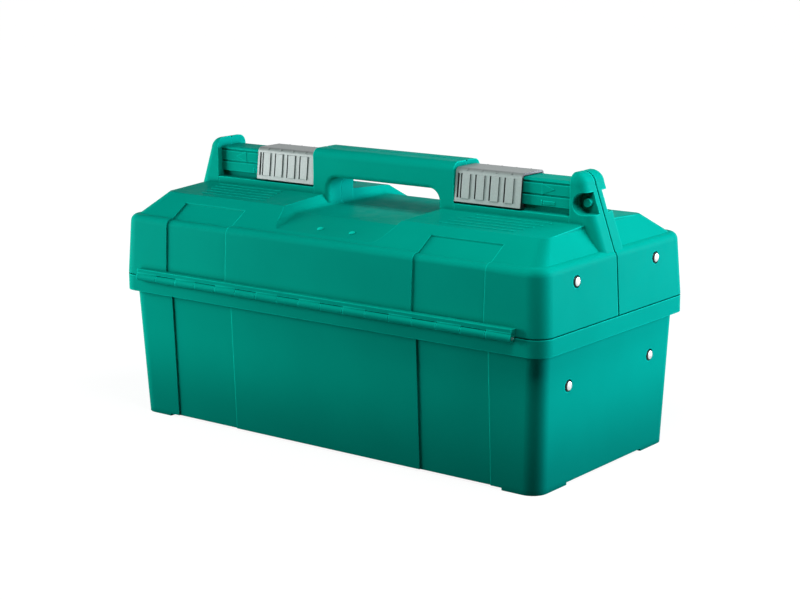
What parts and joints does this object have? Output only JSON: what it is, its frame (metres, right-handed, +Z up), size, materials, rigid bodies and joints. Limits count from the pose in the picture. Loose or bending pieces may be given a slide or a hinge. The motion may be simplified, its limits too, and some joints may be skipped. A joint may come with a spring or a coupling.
{
  "type": "cantilever toolbox",
  "caption": "Moulded plastic toolbox with split lids that open outwards, a linked tray under each lid, a carrying handle and sliding latches.",
  "frame": {"origin": "on the floor under the middle of the box, lids closed", "axes": "+X along the length to the right as seen from the front, -Y towards the front, +Z up"},
  "size_m": [0.43, 0.2236, 0.2313],
  "materials": {
    "shell": "moulded polypropylene, satin gloss",
    "tray": "moulded polypropylene, matt",
    "latch": "moulded plastic, satin",
    "steel": "bright zinc plate"
  },
  "bodies": {
    "base": {"base_tub": "shell", "base_front_knuckles": "shell", "base_rear_knuckles": "shell", "front_hinge_pin": "steel", "rear_hinge_pin": "steel", "base_rivets": "steel", "base_washers": "steel"},
    "front_lid": {"front_lid": "shell", "front_lid_knuckles": "shell", "front_lid_rivets": "steel", "front_tray_washers": "steel"},
    "rear_lid": {"rear_lid": "shell", "rear_lid_knuckles": "shell", "rear_lid_rivets": "steel", "rear_tray_washers": "steel"},
    "front_tray": {"front_tray": "tray"},
    "rear_tray": {"rear_tray": "tray"},
    "left_latch": {"left_latch": "latch"},
    "right_latch": {"right_latch": "latch"},
    "front_left_arm": {"front_left_arm": "steel", "front_left_arm_rivet": "steel"},
    "front_right_arm": {"front_right_arm": "steel", "front_right_arm_rivet": "steel"},
    "rear_left_arm": {"rear_left_arm": "steel", "rear_left_arm_rivet": "steel"},
    "rear_right_arm": {"rear_right_arm": "steel", "rear_right_arm_rivet": "steel"}
  },
  "joints": [
    {"name": "front_lid_hinge", "type": "hinge", "parent": "base", "child": "front_lid", "pos_m": [0, -0.1086, 0.1224], "axis": [1, 0, 0], "range_deg": [0, 93]},
    {"name": "front_tray_pivot", "type": "hinge", "parent": "front_lid", "child": "front_tray", "pos_m": [0, -0.057, 0.1585], "axis": [1, 0, 0], "range_deg": [-93, 0]},
    {"name": "front_left_arm_pivot", "type": "hinge", "parent": "base", "child": "front_left_arm", "pos_m": [0, -0.059, 0.079], "axis": [1, 0, 0], "range_deg": [0, 93]},
    {"name": "front_right_arm_pivot", "type": "hinge", "parent": "base", "child": "front_right_arm", "pos_m": [0, -0.059, 0.079], "axis": [1, 0, 0], "range_deg": [0, 93]},
    {"name": "rear_lid_hinge", "type": "hinge", "parent": "base", "child": "rear_lid", "pos_m": [0, 0.1086, 0.1224], "axis": [-1, 0, 0], "range_deg": [0, 93]},
    {"name": "rear_tray_pivot", "type": "hinge", "parent": "rear_lid", "child": "rear_tray", "pos_m": [0, 0.057, 0.1585], "axis": [-1, 0, 0], "range_deg": [-93, 0]},
    {"name": "rear_left_arm_pivot", "type": "hinge", "parent": "base", "child": "rear_left_arm", "pos_m": [0, 0.059, 0.079], "axis": [-1, 0, 0], "range_deg": [0, 93]},
    {"name": "rear_right_arm_pivot", "type": "hinge", "parent": "base", "child": "rear_right_arm", "pos_m": [0, 0.059, 0.079], "axis": [-1, 0, 0], "range_deg": [0, 93]},
    {"name": "left_latch_slide", "type": "slide", "parent": "front_lid", "child": "left_latch", "axis": [-1, 0, 0], "range_m": [0, 0.044]},
    {"name": "right_latch_slide", "type": "slide", "parent": "front_lid", "child": "right_latch", "axis": [1, 0, 0], "range_m": [0, 0.044]}
  ],
  "couplings": [
    {"joint": "front_tray_pivot", "follows": "front_lid_hinge", "ratio": -1},
    {"joint": "front_left_arm_pivot", "follows": "front_lid_hinge", "ratio": 1},
    {"joint": "front_right_arm_pivot", "follows": "front_lid_hinge", "ratio": 1},
    {"joint": "rear_tray_pivot", "follows": "rear_lid_hinge", "ratio": -1},
    {"joint": "rear_left_arm_pivot", "follows": "rear_lid_hinge", "ratio": 1},
    {"joint": "rear_right_arm_pivot", "follows": "rear_lid_hinge", "ratio": 1}
  ]
}
